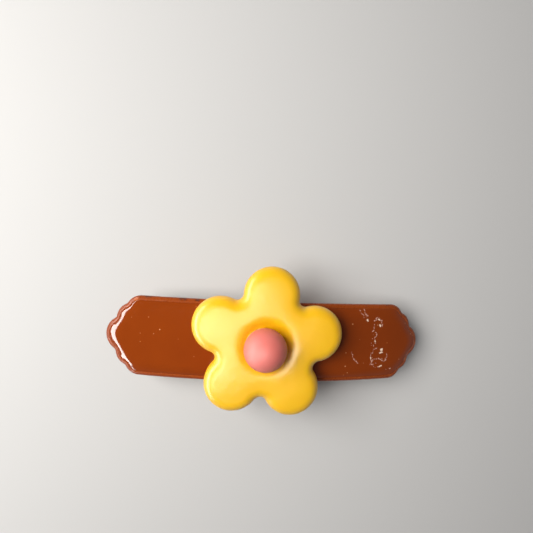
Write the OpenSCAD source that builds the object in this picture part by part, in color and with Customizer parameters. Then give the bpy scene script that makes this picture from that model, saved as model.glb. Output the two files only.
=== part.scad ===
// Flower hair clip: an arched, enamelled bar on a spring barrette back.
// X runs along the bar, Y across it, Z up to the flower.
// The origin is the middle of the base strip's underside, where the hair lies.
// The hinge is at +X and the spring catch at -X.

/* [Bar] */
// Length of the bar from tip to tip, seen from above
bar_length = 67.6; // [58:0.2:84]
// Width of the bar
bar_width = 16.3; // [13:0.2:22]
// Radius of the arch at the base strip's underside
arch_r = 111; // [90:1:160]
// Thickness of the plate under the enamel
plate_t = 1.1; // [0.8:0.1:1.6]
// Height of the rim above that plate
rim_h = 0.5; // [0.3:0.1:1.2]
// Width of the rim
rim_w = 0.6; // [0.4:0.1:1.8]
// Rise of the domed enamel above the rim, in the middle
enamel_rise = 0.45; // [0.1:0.05:0.6]
// Radius of the middle lobe at each tip
tip_r = 3.6; // [3:0.1:4.4]
// Radius of the lobe on each side of it
side_lobe_r = 3.15; // [2.7:0.05:3.8]
// Distance of the side lobe's centre from the tip
side_lobe_in = 5.3; // [4.8:0.1:6.2]
// Radius of the corner lobe, which runs into the long edge
corner_r = 3.2; // [2.7:0.1:4]
// Distance of the corner lobe's centre from the tip
corner_in = 7.25; // [6.6:0.05:8.4]
// Radius of the notches between the lobes
notch_r = 0.85; // [0.5:0.05:1.2]

/* [Flower] */
// Number of petals
petals = 5; // [4:1:6]
// Radius of a petal's round end
petal_r = 5.5; // [4.6:0.1:6.6]
// Distance of a petal's centre from the flower's centre
petal_reach = 9.7; // [8.4:0.1:11.6]
// Radius of the notch between two petals
petal_notch_r = 1.25; // [0.8:0.05:1.8]
// Thickness of the flower
flower_t = 5.2; // [4.8:0.1:6.4]
// Radius of the flower's upper edge
flower_top_r = 2.5; // [1.8:0.1:2.7]
// Radius of the flower's lower edge
flower_low_r = 2.1; // [0.8:0.1:2.2]
// Place of the flower's middle on the bar, where it was glued by hand
flower_at = [-1.3, 0.3]; // [-3:0.1:3]
// Place of the ball on the bar, also glued by hand
ball_at = [-1.9, 0.2]; // [-3:0.1:3]
// Angle that the flower is set at on the bar
flower_turn = 14; // [0:1:72]
// Depth of the hollow in the middle of the flower
hollow_depth = 1.1; // [0.6:0.1:1.8]
// Radius of the hollow's edge
hollow_edge_r = 6.6; // [5.2:0.1:8]
// Diameter of the ball
ball_d = 8; // [6.4:0.1:9.6]
// Depth that the ball sits below the hollow's floor
ball_sink = 1.5; // [0.8:0.1:2]
// Thickness of the adhesive round the ball's seat
ball_glue_t = 0.15; // [0.1:0.05:0.3]
// Height that the adhesive stands above the hollow's floor
ball_glue_rise = 0.3; // [0.1:0.05:0.5]

/* [Barrette back] */
// Length of the base strip, seen from above
base_length = 50; // [44:0.5:60]
// Width of the base strip
base_w = 6; // [5:0.1:7.2]
// Thickness of the base strip
base_t = 0.6; // [0.5:0.05:0.9]
// Distance of each base rivet from the middle
base_rivet_x = 9; // [6:0.5:12]
// Distance of the hinge pin from the middle, along the strip
hinge_x = 22.7; // [20.5:0.1:28]
// Depth of the hinge pin below the base strip
pin_drop = 4.6; // [3.8:0.1:5.5]
// Diameter of the hinge pin
pin_d = 1; // [0.8:0.05:1.3]
// Radial clearance of the pin in the arm's knuckle
pin_fit = 0.05; // [0.03:0.01:0.08]
// Radius of the round end of the hinge ears
ear_r = 1.7; // [1.5:0.1:2.2]
// Length of the bow spring, seen from above
bow_length = 36.6; // [32:0.2:40]
// Thickness of the bow spring
bow_t = 0.3; // [0.2:0.05:0.4]
// Radius of the bow spring's arch
bow_r = 300; // [200:10:500]

/* [Arm] */
// Thickness of the clasp arm
arm_t = 0.6; // [0.5:0.05:0.8]
// Radius of the arm's own arch
arm_r = 180; // [120:5:260]
// Height of the two stiffening flanges under the arm
flange_h = 0.8; // [0.5:0.1:1.2]
// Outer radius of the rolled knuckle
knuckle_r = 1.15; // [1.05:0.05:1.4]
// Width of each rail beside the catch window
rail_w = 1; // [0.8:0.1:1.4]
// Length of the catch window
window_l = 5.2; // [4.6:0.1:6.5]

/* [Catch] */
// Distance of the catch's centre from the middle, along the strip
catch_x = 21.2; // [18:0.1:26]
// Thickness of the spring steel of the catch
catch_t = 0.5; // [0.4:0.05:0.7]
// Gap between the catch plate and each pinch tab's bend
bend_gap = 0.08; // [0.06:0.01:0.15]
// Radius of the round finger lobe of each pinch tab
lobe_r = 3.6; // [3:0.1:4.4]
// Length of each pinch tab from its bend to the lobe's edge
tab_l = 6; // [5.6:0.1:7.2]
// Angle that each pinch tab flares out at, from straight down
tab_flare = 42; // [34:1:50]
// Width of each prong that holds the arm
prong_w = 3; // [2.4:0.1:3.6]
// Depth of the arm's rails below the base strip when it is shut
rail_drop = 5.9; // [5:0.1:7]
// Gap between a prong and the side of the catch window
prong_gap = 0.15; // [0.1:0.05:0.3]
// Overlap of each prong's hook under the arm's rail
hook_grip = 0.5; // [0.3:0.05:0.7]
// Gap between a hook and the rail above it
hook_gap = 0.1; // [0.05:0.05:0.2]
// Height of each hook
hook_h = 1.2; // [0.9:0.1:1.6]

/* [Hidden] */
$fn = 96;
arch_fn = 720;
arc_bite = 0.01;                       // makes the notch arcs cross the lobes, not just touch them
reach = 30;              // height and depth of the cutting outlines

// Levels at the crown of the arch
plate_z = base_t;                      // underside of the bar
floor_z = plate_z + plate_t;           // under the enamel
rim_z = floor_z + rim_h;               // top of the rim
enamel_z = rim_z + enamel_rise;        // top of the enamel
flower_z = enamel_z - 0.2;             // back of the flower, bedded on the enamel
top_z = flower_z + flower_t;
ball_r = ball_d / 2;
ball_z = top_z - hollow_depth - ball_sink + ball_r;
seat_r = ball_r + ball_glue_t;
web_rise = 0.5;          // of the webs between petals, past the upright part of the edge

// Bar outline
half_l = bar_length / 2;
corner_y = bar_width / 2 - corner_r;
side_y = corner_y * 2 / 3;

// Base strip and hinge
ear_t = base_t;
ear_gap = 0.1;                         // beside the knuckle, on each side
rivet_r = 0.9;
rivet_head_r = 1.5;
rivet_head_h = 0.45;
head_gap = 0.02;                       // under a flat head, which the arch curves away from
sink_r = 1.3;                          // countersunk heads
sink_h = 0.4;
pin_head_r = 0.85;
pin_head_t = 0.25;
arm_w = base_w - 2 * (ear_t + ear_gap);
bow_x = 1.6;                           // middle of the bow spring
bridge_l = 1.2;                        // strap that holds the end of the bow spring
bridge_t = 0.4;
bridge_gap = 0.15;
bridge_side = 0.65;
bow_w = base_w - 2 * (bridge_side + bridge_gap);
bridge_x = bow_x + bow_length / 2 - 0.7;
bridge_n = bow_t + 2 * bridge_gap;     // depth of the space under the strap

// Catch
bend_y = base_w / 2 + bend_gap + catch_t / 2;
bend_n = catch_t / 2 + 0.05;
prong_y = bend_y + catch_t / 2;        // outer face of a prong
window_y = prong_y + prong_gap;        // half the width of the arm's window
hook_n = rail_drop + arm_t / 2 + hook_gap;
slot_gap = 0.4;                        // round the prong, in the tab it is cut from
catch_l = 2 * lobe_r;
catch_rivet_r = 0.8;

// Places along the arch
function arch_tilt(x) = asin(x / arch_r);
function arch_z(x) = sqrt(arch_r * arch_r - x * x) - arch_r;
function below(x, n) = [x - n * sin(arch_tilt(x)), arch_z(x) - n * cos(arch_tilt(x))];

// Centre of the circle of radius r through points p (right) and q (left), below both
function arc_centre(p, q, r) =
    let (m = (p + q) / 2, d = norm(p - q) / 2, u = (p - q) / (2 * d), h = sqrt(r * r - d * d))
    [m[0] + u[1] * h, m[1] - u[0] * h];

pin_at = below(hinge_x, pin_drop);
window_at = below(-catch_x, rail_drop);
arm_at_hinge = below(hinge_x, pin_drop + knuckle_r - arm_t / 2);
arm_c = arc_centre(arm_at_hinge, window_at, arm_r);
bow_end = [for (s = [1, -1]) below(bow_x + s * bow_length / 2, bow_t / 2 + bridge_gap / 2)];
bow_c = arc_centre(bow_end[0], bow_end[1], bow_r);

// Centre of a notch circle that touches the circles at a and b from outside
function notch_at(a, ra, b, rb, r) =
    let (d = norm(b - a), u = (b - a) / d,
         k = ((ra + r) * (ra + r) - (rb + r) * (rb + r) + d * d) / (2 * d),
         h = sqrt((ra + r) * (ra + r) - k * k))
    a + u * k + [u[1], -u[0]] * h;

// Fills the corner between two circles down to that notch circle
module notch_fill(a, ra, b, rb, r) {
    c = notch_at(a, ra, b, rb, r);
    difference() {
        polygon([a, c, b]);
        translate(c) circle(r + arc_bite);
    }
}

// Ring about a Y axis through [x, z] = c, between two radii, width w across Y
module hoop(c, r_in, r_out, w) {
    translate([c[0], 0, c[1]]) rotate([90, 0, 0]) difference() {
        cylinder(r = r_out, h = w, center = true, $fn = arch_fn);
        cylinder(r = r_in, h = w + 1, center = true, $fn = arch_fn);
    }
}

// The layer of the arch between two heights over the base strip's underside
module arch_layer(z0, z1, w = 2 * bar_width) {
    hoop([0, -arch_r], arch_r + z0, arch_r + z1, w);
}

// An outline drawn from above, as tall as everything it cuts
module upright() {
    translate([0, 0, -reach]) linear_extrude(2 * reach) children();
}

// Puts its children on the arch at x, with their Z along the arch's normal
module on_arch(x) {
    translate([x, 0, arch_z(x)]) rotate([0, arch_tilt(x), 0]) children();
}

// Straight round bar along Y
module y_rod(r, w) {
    rotate([90, 0, 0]) cylinder(r = r, h = w, center = true);
}

module rounded_rect(l, w, r) {
    square([l - 2 * r, w], center = true);
    square([l, w - 2 * r], center = true);
    for (sx = [-1, 1], sy = [-1, 1])
        translate([sx * (l / 2 - r), sy * (w / 2 - r)]) circle(r);
}

// Outline of the bar, moved inwards by inset
module bar_outline(inset = 0) {
    tip = [half_l - tip_r, 0];
    side = [half_l - side_lobe_in, side_y];
    corner = [half_l - corner_in, corner_y];
    square([2 * corner[0], bar_width - 2 * inset], center = true);
    for (mx = [0, 1], my = [0, 1]) mirror([mx, 0]) mirror([0, my]) {
        translate(tip) circle(tip_r - inset);
        translate(side) circle(side_lobe_r - inset);
        translate(corner) circle(corner_r - inset);
        polygon([[0, 0], tip, side, corner, [0, corner_y]]);
        notch_fill(tip, tip_r - inset, side, side_lobe_r - inset, notch_r + inset);
        notch_fill(side, side_lobe_r - inset, corner, corner_r - inset, notch_r + inset);
    }
}

module bar_plate() {
    color("#7a2c0e") difference() {
        intersection() {
            arch_layer(plate_z, rim_z);
            upright() bar_outline();
        }
        intersection() {
            arch_layer(floor_z, rim_z + 1);
            upright() bar_outline(rim_w);
        }
        for (s = [-1, 1]) on_arch(s * base_rivet_x) rivet_shank();
    }
}

// Everything under the enamel's top face, which is one shallow arc across the bar's width
module under_enamel() {
    half_w = bar_width / 2 - rim_w;
    crown_r = (half_w * half_w + enamel_rise * enamel_rise) / (2 * enamel_rise);
    translate([0, 0, -arch_r]) rotate([90, 0, 0]) rotate_extrude($fn = arch_fn) intersection() {
        translate([arch_r + enamel_z - crown_r, 0]) circle(crown_r, $fn = arch_fn);
        translate([arch_r + floor_z, -bar_width / 2]) square([plate_t + rim_h, bar_width]);
    }
}

module enamel_fill() {
    color("#a8430c") intersection() {
        upright() bar_outline(rim_w);
        under_enamel();
    }
}

// Half section of a petal: flat faces, with a full upper and a smaller lower edge
module petal_section(r) {
    square([r - flower_top_r, flower_t]);
    square([r - flower_low_r, flower_t - flower_top_r]);
    translate([0, flower_low_r]) square([r, flower_t - flower_top_r - flower_low_r]);
    translate([r - flower_top_r, flower_t - flower_top_r]) circle(flower_top_r);
    translate([r - flower_low_r, flower_low_r]) circle(flower_low_r);
}

module flower_body() {
    step = 360 / petals;
    first = [petal_reach, 0];
    next = petal_reach * [cos(step), sin(step)];
    notch = notch_at(first, petal_r, next, petal_r, petal_notch_r);
    core_r = norm(notch) - petal_notch_r;
    hollow_r = (hollow_edge_r * hollow_edge_r + hollow_depth * hollow_depth) / (2 * hollow_depth);
    color("#f7c928") difference() {
        translate([flower_at[0], flower_at[1], flower_z]) rotate(flower_turn) {
            rotate_extrude() petal_section(core_r);
            for (i = [0:petals - 1]) rotate(i * step) {
                translate(first) rotate_extrude() petal_section(petal_r);
                translate([0, 0, flower_low_r - web_rise])
                    linear_extrude(flower_t - flower_top_r - flower_low_r + 2 * web_rise)
                    notch_fill(first, petal_r, next, petal_r, petal_notch_r);
            }
        }
        translate([flower_at[0], flower_at[1], top_z - hollow_depth + hollow_r])
            sphere(hollow_r, $fn = 180);
        at_ball() sphere(seat_r);
        under_enamel();
    }
}

// Puts its children at the middle of the ball
module at_ball() {
    translate([ball_at[0], ball_at[1], ball_z]) children();
}

module ball() {
    color("#f3a39c") at_ball() sphere(ball_r);
}

// A thin cup of adhesive between the ball and its seat
module ball_glue() {
    cup_h = ball_sink + ball_glue_t + ball_glue_rise;
    color("#f0c860") difference() {
        intersection() {
            at_ball() sphere(seat_r);
            at_ball() translate([0, 0, -seat_r]) cylinder(r = ball_r, h = cup_h);
        }
        at_ball() sphere(ball_r);
    }
}

// Headless middle of a base rivet, with its countersink in the bar
module rivet_shank() {
    translate([0, 0, -head_gap - 0.1]) cylinder(r = rivet_r, h = floor_z + head_gap + 0.1);
    translate([0, 0, floor_z - sink_h]) cylinder(r1 = rivet_r, r2 = sink_r, h = sink_h + 0.1);
}

module base_rivets() {
    color("silver") for (s = [-1, 1]) intersection() {
        on_arch(s * base_rivet_x) {
            rivet_shank();
            translate([0, 0, -rivet_head_h - head_gap]) cylinder(r = rivet_head_r, h = rivet_head_h);
        }
        arch_layer(-2, floor_z);
    }
}

// One hinge ear, drawn in its own plane with the pin at [0, -pin_drop]
module ear_outline() {
    polygon([[-ear_r - 0.5, base_t / 2], [ear_r + 0.5, base_t / 2],
             [ear_r, -pin_drop], [-ear_r, -pin_drop]]);
    translate([0, -pin_drop]) circle(ear_r);
}

module base_strip() {
    side = base_w / 2;
    color("silver") difference() {
        union() {
            intersection() {
                arch_layer(0, base_t);
                upright() rounded_rect(base_length, base_w, 1.2);
            }
            on_arch(hinge_x) for (s = [-1, 1])
                translate([0, s * (side - ear_t / 2), 0]) rotate([90, 0, 0])
                    linear_extrude(ear_t, center = true) ear_outline();
            on_arch(bridge_x) difference() {
                translate([-bridge_l / 2, -side, -bridge_n - bridge_t])
                    cube([bridge_l, base_w, bridge_n + bridge_t + base_t / 2]);
                translate([-bridge_l, -bow_w / 2 - bridge_gap, -bridge_n])
                    cube([2 * bridge_l, bow_w + 2 * bridge_gap, bridge_n]);
            }
        }
        on_arch(hinge_x) translate([0, 0, -pin_drop]) y_rod(pin_d / 2, base_w + 1);
        for (s = [-1, 1]) on_arch(s * base_rivet_x)
            translate([0, 0, -1]) cylinder(r = rivet_r, h = 3);
        on_arch(-catch_x) catch_rivet_solid();
    }
}

module bow_spring() {
    color("gainsboro") intersection() {
        hoop(bow_c, bow_r - bow_t / 2, bow_r + bow_t / 2, bow_w);
        upright() translate([bow_x, 0]) rounded_rect(bow_length, bow_w, 0.8);
    }
}

module hinge_pin() {
    color("silver") on_arch(hinge_x) translate([0, 0, -pin_drop]) {
        y_rod(pin_d / 2, base_w + 2 * pin_head_t);
        for (s = [-1, 1]) translate([0, s * (base_w + pin_head_t) / 2, 0])
            y_rod(pin_head_r, pin_head_t);
    }
}

module catch_rivet_solid() {
    head_n = catch_t + rivet_head_h;
    translate([0, 0, -head_n]) cylinder(r = sink_r, h = rivet_head_h);
    translate([0, 0, -head_n]) cylinder(r = catch_rivet_r, h = head_n + base_t - sink_h);
    translate([0, 0, base_t - sink_h]) cylinder(r1 = catch_rivet_r, r2 = sink_r, h = sink_h + 0.1);
}

module catch_rivet() {
    color("silver") intersection() {
        on_arch(-catch_x) catch_rivet_solid();
        arch_layer(-2, base_t);
    }
}

module catch_plate() {
    color("gainsboro") difference() {
        intersection() {
            arch_layer(-catch_t, 0);
            on_arch(-catch_x) cube([catch_l, base_w, 4], center = true);
        }
        on_arch(-catch_x) translate([0, 0, -2]) cylinder(r = catch_rivet_r, h = 4);
    }
}

// A pinch tab on the +Y side: its bend, flared finger lobe and upright hooked prong
module pinch_tab() {
    straight = tab_l - lobe_r;
    color("gainsboro") on_arch(-catch_x) translate([0, bend_y, -bend_n]) {
        rotate([0, 90, 0]) cylinder(r = catch_t / 2, h = catch_l, center = true);
        rotate([tab_flare, 0, 0]) rotate([90, 0, 0]) translate([0, 0, -catch_t / 2])
            linear_extrude(catch_t) difference() {
                union() {
                    translate([-lobe_r, -straight]) square([catch_l, straight]);
                    intersection() {
                        translate([0, -straight]) circle(lobe_r);
                        translate([-lobe_r, -tab_l]) square([catch_l, tab_l]);
                    }
                }
                translate([-prong_w / 2 - slot_gap, -straight - slot_gap])
                    square([prong_w + 2 * slot_gap, straight]);
            }
        rotate([90, 0, 90]) linear_extrude(prong_w, center = true) prong_section();
    }
}

// Section of a prong across the bar, from the middle of the bend
module prong_section() {
    face = catch_t / 2;
    grip = prong_gap + hook_grip;
    top = bend_n - hook_n;
    low = top - hook_h;
    polygon([[-face, 0], [face, 0], [face, top], [face + grip, top],
             [face + grip, top - hook_h / 4], [face, low], [-face, low]]);
}

module pinch_tab_back() { pinch_tab(); }
module pinch_tab_front() { mirror([0, 1, 0]) pinch_tab(); }

// Outline of the arm from above, before its catch window is cut
module arm_outline() {
    loop_w = 2 * (window_y + rail_w);
    loop_l = window_l + 2 * rail_w;
    neck = 5;
    translate([window_at[0], 0]) rounded_rect(loop_l, loop_w, 1.5);
    translate([window_at[0], -arm_w / 2])
        square([arm_at_hinge[0] - window_at[0], arm_w]);
    polygon([[window_at[0] + loop_l / 2 - 1.5, loop_w / 2],
             [window_at[0] + loop_l / 2 + neck, arm_w / 2],
             [window_at[0] + loop_l / 2 + neck, -arm_w / 2],
             [window_at[0] + loop_l / 2 - 1.5, -loop_w / 2]]);
}

module clasp_arm() {
    flange_t = arm_t;
    flange_x0 = window_at[0] + window_l / 2 + rail_w + 5;
    flange_x1 = pin_at[0] - 3;
    color("silver") difference() {
        union() {
            intersection() {
                hoop(arm_c, arm_r - arm_t / 2, arm_r + arm_t / 2, 4 * arm_w);
                upright() difference() {
                    arm_outline();
                    translate([window_at[0], 0]) square([window_l, 2 * window_y], center = true);
                }
            }
            intersection() {
                hoop(arm_c, arm_r - arm_t / 2 - flange_h, arm_r, 4 * arm_w);
                upright() for (s = [-1, 1])
                    translate([flange_x0, s * (arm_w - flange_t) / 2 - flange_t / 2])
                        square([flange_x1 - flange_x0, flange_t]);
            }
            translate([pin_at[0], 0, pin_at[1]])
                y_rod(knuckle_r, arm_w);
        }
        translate([pin_at[0], 0, pin_at[1]]) y_rod(pin_d / 2 + pin_fit, 2 * base_w);
    }
}

bar_plate();
enamel_fill();
flower_body();
ball();
ball_glue();
base_strip();
base_rivets();
bow_spring();
catch_plate();
catch_rivet();
pinch_tab_front();
pinch_tab_back();
hinge_pin();
clasp_arm();
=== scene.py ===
"""Flower hair clip: an enamelled bar with a soft-touch flower on a steel barrette back.

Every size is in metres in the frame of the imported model: X along the bar, Y across it,
Z up to the flower. Z is zero at the middle of the base strip's underside.
"""

import math

import bmesh
import bpy
from mathutils import Matrix, Vector


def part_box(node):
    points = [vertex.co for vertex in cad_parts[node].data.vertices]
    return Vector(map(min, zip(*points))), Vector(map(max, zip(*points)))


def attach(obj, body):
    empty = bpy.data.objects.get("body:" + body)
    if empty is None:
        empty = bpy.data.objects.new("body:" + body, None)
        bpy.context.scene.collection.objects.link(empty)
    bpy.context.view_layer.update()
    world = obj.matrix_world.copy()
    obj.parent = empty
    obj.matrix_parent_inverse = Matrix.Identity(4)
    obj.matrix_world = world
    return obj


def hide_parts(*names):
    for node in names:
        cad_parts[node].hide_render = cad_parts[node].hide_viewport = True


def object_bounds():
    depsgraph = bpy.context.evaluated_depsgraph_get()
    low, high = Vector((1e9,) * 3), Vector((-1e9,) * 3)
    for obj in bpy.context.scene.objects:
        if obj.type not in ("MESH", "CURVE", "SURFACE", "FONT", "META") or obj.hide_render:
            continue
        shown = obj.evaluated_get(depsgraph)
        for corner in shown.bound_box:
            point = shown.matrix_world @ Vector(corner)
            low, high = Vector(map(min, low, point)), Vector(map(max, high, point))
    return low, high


bl_info = {
    "name": "Flower Hair Clip",
    "version": (1, 0, 0),
    "blender": (4, 5, 0),
    "location": "View3D > Sidebar > Hair Clip",
    "description": "Builds the enamelled bar, flower, ball and steel barrette of a hair clip",
    "category": "Object",
}

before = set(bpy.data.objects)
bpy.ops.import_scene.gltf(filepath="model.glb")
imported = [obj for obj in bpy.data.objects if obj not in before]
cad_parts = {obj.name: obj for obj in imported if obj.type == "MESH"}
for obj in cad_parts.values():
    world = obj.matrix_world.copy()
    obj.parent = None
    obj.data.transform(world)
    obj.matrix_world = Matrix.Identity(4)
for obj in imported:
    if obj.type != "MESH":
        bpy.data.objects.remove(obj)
cad_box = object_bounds()

MM = 0.001
BAR_LOW, BAR_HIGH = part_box("bar_plate")
BALL_LOW, BALL_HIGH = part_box("ball")
ARCH_R = 111 * MM          # arch of the bar, at height zero
PLATE_Z = 0.6 * MM         # heights above the arch, at the middle of the bar
FLOOR_Z = 1.7 * MM
RIM_Z = 2.2 * MM
ENAMEL_Z = 2.65 * MM
FLOWER_Z = 2.45 * MM
FLOWER_TOP = 7.65 * MM
FLOWER_AT = Vector((-1.3, 0.3, 0)) * MM
PETALS = 5
BEAD_R = 3.35 * MM         # ring of adhesive: where it lies, and how thick it is
BEAD_Z = FLOWER_TOP - 0.95 * MM
BEAD_THICK = 0.3 * MM
MERGE = 1e-7
MERGE_SPUN = 1e-6
ROUND = 2 * math.pi

# Steel nodes, each with its finish, the millimetres its edges are eased by, and its body
STEEL_PARTS = {
    "base_strip": ("nickel", 0.07, "bar"),
    "base_rivets": ("rivet", 0.12, "bar"),
    "bow_spring": ("spring", 0.05, "bar"),
    "catch_plate": ("spring", 0.07, "bar"),
    "catch_rivet": ("rivet", 0.12, "bar"),
    "hinge_pin": ("rivet", 0.06, "bar"),
    "pinch_tab_front": ("spring", 0.08, "tab_front"),
    "pinch_tab_back": ("spring", 0.08, "tab_back"),
    "clasp_arm": ("nickel", 0.09, "arm"),
}


# Painted glints in the enamel, and worn chips in the paint. The threads, glint grain and flakes
# are painted highlights, standing in for a light's reflection broken up by the wavy enamel.
# Threads are arcs (x, y, radius, heading, half opening) in millimetres and degrees. Spots of
# glint grain, flakes and chips are (x, y, half length, half width, turn), in millimetres and
# radians.
GLINT_THREADS = (
    (21.5, 7.9, 2.88, 215, 20), (22.3, 7.7, 2.74, 208, 20), (22.9, 3.9, 1.15, 62, 78),
    (22.9, 3.9, 1.4, 70, 40), (20.6, 3.5, 1.6, -8, 32), (22.0, 1.7, 0.8, 0, 65),
    (24.1, -3.1, 2.42, 180, 66), (24.7, -2.8, 0.95, -35, 75), (23.4, -5.2, 1.9, 100, 60),
    (20.6, -1.2, 3.45, 215, 27))
# Spots where painted glint grain is scattered
GLINT_SPOTS = (
    (22.2, 1.6, 1.1, 3.4, 0.0), (23.4, 4.7, 1.2, 0.7, 0.0), (26.6, -5.4, 1.9, 0.8, 0.3),
    (23.3, -4.6, 2.0, 1.2, 0.0), (21.9, -2.6, 0.6, 1.9, 0.0), (20.3, 5.2, 0.4, 0.6, 0.0))
# Bright flakes of painted highlight
GLINT_FLAKES = (
    (24.1, -2.05, 0.62, 0.26, 0.0), (24.2, -1.45, 0.32, 0.4, 0.0), (24.1, -5.0, 0.5, 0.24, -0.4),
    (22.6, 0.45, 0.24, 0.4, -0.4), (23.5, 3.75, 0.4, 0.24, 0.3), (20.4, 4.85, 0.24, 0.24, 0.0),
    (23.2, 4.95, 0.42, 0.2, -0.4), (21.7, -3.2, 0.18, 0.5, 0.0))
CHIPS = ((-25.1, 8.0, 0.9, 0.4), (-18.0, 7.95, 1.1, 0.4), (-15.1, 7.9, 0.7, 0.35),
         (25.5, 8.0, 0.6, 0.3))

# Pieces that the satin light falls on
SATIN_PIECES = ("moulded_flower", "satin_ball", "adhesive_bead")

# Camera: place, way it looks and its upward side
CAMERA_EYE = Vector((-9.80, 17.58, 76.38)) * MM
CAMERA_LOOK = Vector((0.1083, -0.0303, -0.9937))
CAMERA_UP = Vector((-0.0458, 0.9983, -0.0354))

HORIZON = (0.32, 0.32, 0.33, 1)
OVERHEAD = (0.12, 0.12, 0.13, 1)
FLOOR_GAP = 0.02 * MM


# ---------------------------------------------------------------- settings

class ClipBarSettings(bpy.types.PropertyGroup):
    length: bpy.props.FloatProperty(
        name="Length", description="Length of the bar from tip to tip",
        default=BAR_HIGH.x - BAR_LOW.x, unit="LENGTH", precision=4)
    width: bpy.props.FloatProperty(
        name="Width", description="Width of the bar",
        default=BAR_HIGH.y - BAR_LOW.y, unit="LENGTH", precision=4)
    rim: bpy.props.FloatProperty(
        name="Rim", description="Width of the painted rim round the enamel",
        default=0.85 * MM, unit="LENGTH", precision=5)
    roll: bpy.props.FloatProperty(
        name="Roll-off", description="Width that the enamel's edge curves down over",
        default=2.2 * MM, unit="LENGTH", precision=5)
    roll_drop: bpy.props.FloatProperty(
        name="Roll-off drop", description="Height that the enamel's edge curves down by",
        default=0.5 * MM, unit="LENGTH", precision=5)
    crown: bpy.props.FloatProperty(
        name="Crown", description="Height that the enamel falls by from its middle to its side",
        default=0.1 * MM, unit="LENGTH", precision=5)
    enamel: bpy.props.FloatVectorProperty(
        name="Enamel", description="Colour of the enamel",
        default=(0.25, 0.041, 0.002), subtype="COLOR", min=0, max=1)
    enamel_deep: bpy.props.FloatVectorProperty(
        name="Deep enamel", description="Colour of the enamel where it clouds",
        default=(0.215, 0.033, 0.0015), subtype="COLOR", min=0, max=1)
    paint: bpy.props.FloatVectorProperty(
        name="Paint", description="Colour of the painted plate",
        default=(0.28, 0.05, 0.006), subtype="COLOR", min=0, max=1)


class ClipFlowerSettings(bpy.types.PropertyGroup):
    petal_radius: bpy.props.FloatProperty(
        name="Petal radius", description="Radius of a petal's round end",
        default=5.5 * MM, unit="LENGTH", precision=4)
    reach: bpy.props.FloatProperty(
        name="Reach", description="Distance of a petal's centre from the middle",
        default=9.7 * MM, unit="LENGTH", precision=4)
    notch: bpy.props.FloatProperty(
        name="Notch", description="Radius of the notch between two petals",
        default=1.25 * MM, unit="LENGTH", precision=4)
    turn: bpy.props.FloatProperty(
        name="Turn", description="Angle that the flower is set at on the bar",
        default=math.radians(14), subtype="ANGLE", unit="ROTATION")
    hollow: bpy.props.FloatProperty(
        name="Hollow", description="Depth of the hollow round the ball",
        default=1.55 * MM, unit="LENGTH", precision=4)
    petal: bpy.props.FloatVectorProperty(
        name="Petal", description="Colour of the soft-touch flower",
        default=(0.93, 0.53, 0.005), subtype="COLOR", min=0, max=1)
    petal_deep: bpy.props.FloatVectorProperty(
        name="Deep petal", description="Colour of the flower where the coat lies thicker",
        default=(0.91, 0.50, 0.003), subtype="COLOR", min=0, max=1)
    ball: bpy.props.FloatVectorProperty(
        name="Ball", description="Colour of the satin ball",
        default=(0.74, 0.175, 0.145), subtype="COLOR", min=0, max=1)
    glue: bpy.props.FloatVectorProperty(
        name="Adhesive", description="Colour of the adhesive round the ball",
        default=(0.9, 0.62, 0.16), subtype="COLOR", min=0, max=1)


class ClipSteelSettings(bpy.types.PropertyGroup):
    nickel: bpy.props.FloatVectorProperty(
        name="Nickel", description="Colour of the nickel-plated strip and arm",
        default=(0.66, 0.63, 0.58), subtype="COLOR", min=0, max=1)
    spring: bpy.props.FloatVectorProperty(
        name="Spring steel", description="Colour of the bow spring and the catch",
        default=(0.56, 0.55, 0.53), subtype="COLOR", min=0, max=1)
    rivet: bpy.props.FloatVectorProperty(
        name="Rivets", description="Colour of the rivets and the pin",
        default=(0.72, 0.70, 0.66), subtype="COLOR", min=0, max=1)


class ClipStudioSettings(bpy.types.PropertyGroup):
    focal_length: bpy.props.FloatProperty(
        name="Focal length", description="Focal length of the camera in millimetres",
        default=25.21, min=10, max=200)
    key: bpy.props.FloatProperty(
        name="Key light", description="Power of the large soft light, in watts",
        default=0.95, min=0)
    satin: bpy.props.FloatProperty(
        name="Satin light", description="Power of the light the satin pieces mirror, in watts",
        default=0.72, min=0)
    window: bpy.props.FloatProperty(
        name="Window light", description="Power of the long low light on the enamel, in watts",
        default=1.15, min=0)
    room: bpy.props.FloatProperty(
        name="Room light", description="Strength of the light from all round",
        default=0.75, min=0)
    floor: bpy.props.FloatVectorProperty(
        name="Floor", description="Colour of the floor",
        default=(0.6, 0.6, 0.595), subtype="COLOR", min=0, max=1)


# ------------------------------------------------------------ mesh helpers

def tangent_centre(a, ra, b, rb, r):
    """Centre of a notch circle of radius r that touches two lobe circles from outside."""
    gap = (b - a).length
    along = (b - a) / gap
    k = ((ra + r) ** 2 - (rb + r) ** 2 + gap ** 2) / (2 * gap)
    h = math.sqrt((ra + r) ** 2 - k ** 2)
    return a + along * k + Vector((along.y, -along.x)) * h


def heading(a, b):
    """Angle of the way from a to b."""
    return math.atan2(b.y - a.y, b.x - a.x)


def swing(start, end, turn):
    """Signed angle from start to end, turning left (+1) or right (-1)."""
    return turn * ((turn * (end - start)) % ROUND)


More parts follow.
